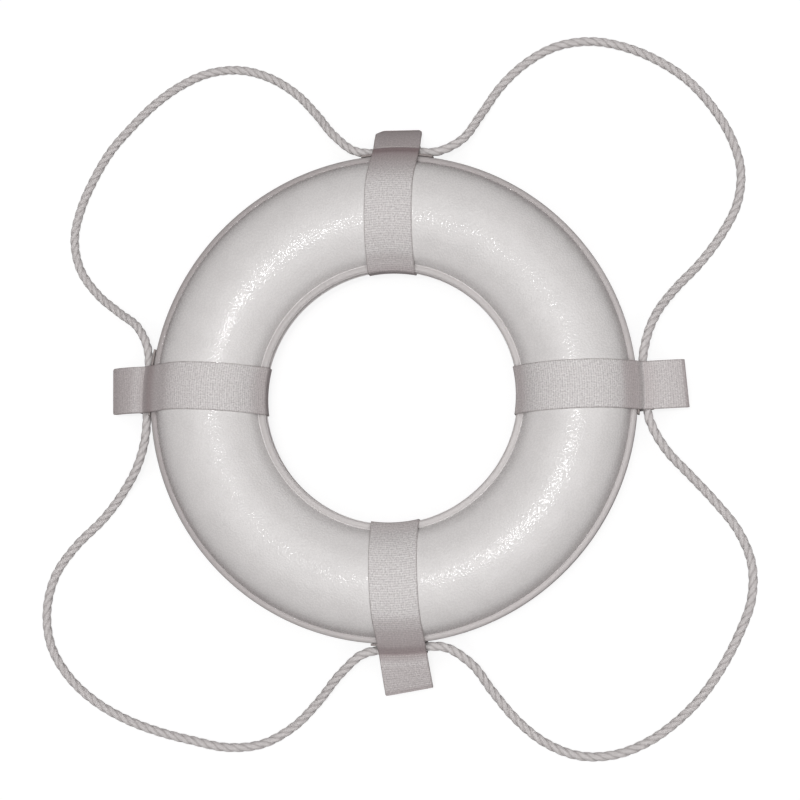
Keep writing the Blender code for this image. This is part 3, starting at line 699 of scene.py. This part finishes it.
def webbingMaterial(name, light, dark):
    # flat-woven polypropylene webbing: ribs across it, warp yarns along it, painted shade along the selvedges
    material = newMaterial(name)
    place = addNode(material, "UVMap", uv_map="UVMap").outputs["UV"]
    parts = addNode(material, "SeparateXYZ", {"Vector": place})
    along, across = parts.outputs["X"], parts.outputs["Y"]
    rib = addNode(material, "Math", {0: addNode(material, "Math", {
        0: along, 1: 2 * math.pi / webbing["rib"]}, operation="MULTIPLY")}, operation="COSINE")
    # each second warp yarn is half a rib further on
    warp = addNode(material, "Math", {0: addNode(material, "Math", {
        0: across, 1: math.pi / webbing["warp"]}, operation="MULTIPLY")}, operation="SINE")
    yarn = addNode(material, "Math", {0: warp}, operation="ABSOLUTE")
    turned = addNode(material, "Math", {0: addNode(material, "Math", {0: warp}, operation="SIGN"), 1: rib},
                     operation="MULTIPLY")
    weave = addNode(material, "Math", {0: yarn, 1: 0.6, 2: addNode(material, "Math", {
        0: turned, 1: 0.35}, operation="MULTIPLY")}, operation="MULTIPLY_ADD")
    # tufts of fibre a millimetre or so across catch the light here and there
    tuft = addNode(material, "TexNoise", {"Vector": addNode(material, "Mapping", {
        "Vector": place, "Scale": (480, 610, 1)}), "Scale": 1, "Detail": 1})
    # painted shade: darker in the valleys between the ribs, lighter on their crests
    lit = addNode(material, "MapRange", {"Value": rib, "From Min": -1, "From Max": 1, "To Max": 0.35})
    tufted = addNode(material, "MapRange", {"Value": tuft, "From Min": 0.3, "From Max": 0.7})
    tone = addNode(material, "Math", {0: tufted, 1: 0.65, 2: lit}, operation="MULTIPLY_ADD")
    # the painted shade set on the strap darkens and warms the webbing, and weakens its weave's tone and
    # relief
    strapShade = addNode(material, "Attribute", attribute_name="strapShade").outputs["Fac"]
    calm = addNode(material, "Math", {0: strapShade, 1: 0.55}, operation="MULTIPLY")
    tone = addNode(material, "Mix", {0: calm, 2: tone, 3: 0.5}, data_type="FLOAT")
    colour = addNode(material, "Mix", {0: tone, 6: linear(dark), 7: linear(light)}, data_type="RGBA")
    relief = addNode(material, "MapRange", {"Value": strapShade, "To Min": 0.8, "To Max": 0.4})
    # the painted shade's warm dark colour
    shadeTint = addNode(material, "Mix", {0: strapShade, 6: (1, 1, 1, 1), 7: (0.423, 0.340, 0.348, 1)}, data_type="RGBA")
    colour = addNode(material, "Mix", {0: 1.0, 6: colour.outputs[2], 7: shadeTint.outputs[2]}, data_type="RGBA",
                     blend_type="MULTIPLY")
    # painted shade along both selvedges
    half, (zoneStart, zoneEnd) = webbing["width"] / 2, webbing["selvedge"]
    selvedge = addNode(material, "MapRange", {
        "Value": addNode(material, "Math", {0: across}, operation="ABSOLUTE"),
        "From Min": half - zoneStart, "From Max": half - zoneEnd, "To Max": 0.40},
        interpolation_type="SMOOTHSTEP")
    finished = addNode(material, "Mix", {0: selvedge, 6: colour.outputs[2], 7: linear("#8E8684")},
                       data_type="RGBA")
    height = addNode(material, "Math", {0: tuft, 1: 2.2, 2: weave}, operation="MULTIPLY_ADD")
    bump = addNode(material, "Bump", {"Height": height, "Distance": 0.00020, "Strength": relief})
    shader = addNode(material, "BsdfPrincipled", {
        "Base Color": finished.outputs[2], "Roughness": 0.5, "Normal": bump, "Specular IOR Level": 0.3})
    addNode(material, "OutputMaterial", {"Surface": shader})
    return material


strapWebbing = webbingMaterial("wovenPolypropyleneWebbing", "#ECEAE9", "#B5B1B1")
for strapName in straps:
    makeStrap(strapName, strapWebbing)
    print("life ring: strap", strapName)

# seam thread behind the rope, a lockstitch row on each face
thread = {
    "diameter": 0.0008, "pitch": 0.0031,
    "line": 0.0030,          # from the crease
    "fromSelvedge": 0.0045,  # the row stops this far from the edge
    "rise": 0.00070,         # of a stitch's middle over its ends
    "sunk": 0.8,             # the ends' depth in the webbing, in diameters
    "slant": 0.0004,
    "steps": 8,              # of each stitch
}


def threadMaterial():
    # bonded nylon thread: thin and slightly shiny, paler than the webbing
    material = newMaterial("bondedNylonThread")
    place = addNode(material, "TexCoord").outputs["Object"]
    twist = addNode(material, "TexNoise", {"Vector": place, "Scale": 1 / 0.0005, "Detail": 2})
    colour = addNode(material, "Mix", {0: twist, 6: linear("#A59E9C"), 7: linear("#C9C4C2")},
                     data_type="RGBA")
    bump = addNode(material, "Bump", {"Height": twist, "Distance": 0.0001})
    shader = addNode(material, "BsdfPrincipled", {
        "Base Color": colour.outputs[2], "Roughness": 0.45, "Normal": bump})
    addNode(material, "OutputMaterial", {"Surface": shader})
    return material


def makeStitching(name, material):
    strap = straps[name]
    course = tabCourse(strap)
    curve = bpy.data.curves.new("stitches", "CURVE")
    curve.dimensions = "3D"
    curve.bevel_depth = thread["diameter"] / 2
    curve.bevel_resolution = 2
    curve.use_fill_caps = True
    width = webbing["width"] / 2 - thread["fromSelvedge"]
    count = round(2 * width / thread["pitch"])
    surface = webbing["gap"] / 2 + webbing["thickness"] - webbing["ribDepth"]
    for face in (1, -1):
        spline = curve.splines.new("POLY")
        steps = count * thread["steps"]
        spline.points.add(steps)
        for step in range(steps + 1):
            across = -width + 2 * width * step / steps
            turn = math.pi * step / thread["steps"]
            lift = thread["rise"] * abs(math.sin(turn)) - thread["diameter"] * thread["sunk"]
            outward = strap["crease"] + thread["line"] + thread["slant"] * math.sin(2 * turn)
            place = strapPlace(strap, course, outward, across, face * (surface + lift))
            spline.points[step].co = (*place, 1)
    made = bpy.data.objects.new("stitches", curve)
    mesh = bpy.data.meshes.new_from_object(made)
    bpy.data.objects.remove(made)
    shape = bmesh.new()
    shape.from_mesh(mesh)
    bpy.data.meshes.remove(mesh)
    bmesh.ops.remove_doubles(shape, verts=shape.verts, dist=0.000001)
    finishPiece("strap_seam_" + name, shape, material, ("strap_stitching_" + name,), 60)


seamThread = threadMaterial()
for strapName in straps:
    makeStitching(strapName, seamThread)
print("life ring: seams")

# rope pads: short strips of webbing on the band, behind the rope
pad = {"inner": 0.2543, "thickness": 0.0022, "height": 0.015, "rounding": 0.0006, "steps": 56}


def makePad(name, material):
    strap = straps[name]
    shape = bmesh.new()
    bmesh.ops.create_grid(shape, x_segments=1, y_segments=1, size=0.5)
    for corner in shape.verts:
        corner.co = (pad["inner"] + pad["thickness"] * (0.5 + corner.co.x), 0, corner.co.y * pad["height"])
    bmesh.ops.bevel(shape, geom=list(shape.verts), affect="VERTICES", offset=pad["rounding"], segments=3,
                    profile=0.5, material=-1)
    azimuth = math.radians(strap["azimuth"])
    start, end = (azimuth + reach / pad["inner"] for reach in strap["pad"])
    bmesh.ops.rotate(shape, verts=shape.verts, cent=(0, 0, 0), matrix=Matrix.Rotation(start, 3, "Z"))
    bmesh.ops.spin(shape, geom=[*shape.verts, *shape.edges, *shape.faces], cent=(0, 0, 0), axis=(0, 0, 1),
                   angle=end - start, steps=pad["steps"])
    bmesh.ops.recalc_face_normals(shape, faces=shape.faces)
    pattern = shape.loops.layers.uv.new("UVMap")
    for face in shape.faces:
        for loop in face.loops:
            place = loop.vert.co
            angle = (math.atan2(place.y, place.x) - azimuth + math.pi) % (2 * math.pi) - math.pi
            loop[pattern].uv = (angle * pad["inner"], place.z)
    finishPiece("pad_strip_" + name, shape, material, ("rope_pad_" + name,), 50)


# the pads' webbing is coloured much darker than the straps': painted shade of the gap between rope and band
# where the pads lie
shadedPadWebbing = webbingMaterial("narrowPadWebbing", "#948C8A", "#867E7C")
for strapName in straps:
    makePad(strapName, shadedPadWebbing)
print("life ring: rope pads")

# floor, world and lamps
studio = {
    "floorSize": 12.0,
    "floorGap": 0.0002,      # the floor lies this far below the straps
    "floorShare": 0.22,      # share of the floor's white that the lamps give, and the shadows take away
    "shareEnd": (0.6, 2.2),  # that share falls to none between these distances from the object
    "floorWhite": 1.06,
    "fill": (0.045, 0.030, 0.031, 1),  # the faint warm light from all sides
}
lamps = {
    "softbox": {"place": (0.30, -0.18, 3.0), "size": (4.0, 4.0), "power": 90},
    "keySpot": {"place": (0.15, -0.12, 3.6), "size": (0.50, 0.12), "turn": -38.7, "power": 30},
}


def makeFloor():
    mesh = bpy.data.meshes.new("studioFloor")
    shape = bmesh.new()
    bmesh.ops.create_grid(shape, x_segments=1, y_segments=1, size=studio["floorSize"] / 2)
    bmesh.ops.translate(shape, verts=shape.verts, vec=(0, 0, floorHeight - studio["floorGap"]))
    shape.to_mesh(mesh)
    shape.free()
    floor = bpy.data.objects.new("studioFloor", mesh)
    bpy.context.scene.collection.objects.link(floor)
    # white paper sweep: the camera sees it mostly self-lit, so that it is white with a faint shadow
    material = newMaterial("whitePaperFloor")
    seen = addNode(material, "LightPath").outputs["Is Camera Ray"]
    # away from the object the paper is wholly self-lit, so that it has no edge against the backdrop
    away = addNode(material, "VectorMath", {0: addNode(material, "TexCoord").outputs["Object"]},
                   operation="LENGTH").outputs["Value"]
    nearest, furthest = studio["shareEnd"]
    share = addNode(material, "MapRange", {"Value": away, "From Min": nearest, "From Max": furthest,
                                           "To Min": studio["floorShare"], "To Max": 0},
                    interpolation_type="SMOOTHSTEP")
    colour = addNode(material, "Mix", {0: seen, 6: linear("#9A9696"), 7: share}, data_type="RGBA")
    glow = addNode(material, "Math", {0: seen, 1: addNode(material, "Math", {
        0: studio["floorWhite"], 1: share}, operation="SUBTRACT")}, operation="MULTIPLY")
    shader = addNode(material, "BsdfPrincipled", {
        "Base Color": colour.outputs[2], "Roughness": 1.0, "Specular IOR Level": 0.0,
        "Emission Color": (1, 1, 1, 1), "Emission Strength": glow})
    addNode(material, "OutputMaterial", {"Surface": shader})
    mesh.materials.append(material)


def makeWorld():
    world = bpy.data.worlds.new("studioWorld")
    bpy.context.scene.world = world
    world.use_nodes = True
    world.node_tree.nodes.clear()
    path = addNode(world, "LightPath")
    shown = addNode(world, "Math", {0: path.outputs["Is Camera Ray"], 1: path.outputs["Is Glossy Ray"]},
                    operation="MAXIMUM")
    shown = addNode(world, "Math", {0: shown, 1: path.outputs["Is Transmission Ray"]}, operation="MAXIMUM")
    level = addNode(world, "Mix", {0: shown, 6: studio["fill"], 7: (1, 1, 1, 1)}, data_type="RGBA")
    background = addNode(world, "Background", {"Color": level.outputs[2]})
    addNode(world, "OutputWorld", {"Surface": background})


def makeLamps():
    for name, lamp in lamps.items():
        data = bpy.data.lights.new(name, "AREA")
        data.shape = "RECTANGLE"
        data.size, data.size_y = lamp["size"]
        data.energy = lamp["power"]
        placed = bpy.data.objects.new(name, data)
        placed.location = lamp["place"]
        aim = Vector(lamp["place"]).to_track_quat("Z", "Y")
        placed.rotation_euler = (aim.to_matrix() @ Matrix.Rotation(
            math.radians(lamp.get("turn", 0)), 3, "Z")).to_euler()
        bpy.context.scene.collection.objects.link(placed)


makeFloor()
makeWorld()
makeLamps()
bpy.context.scene.view_settings.view_transform = "Standard"
print("life ring: stage and lamps")
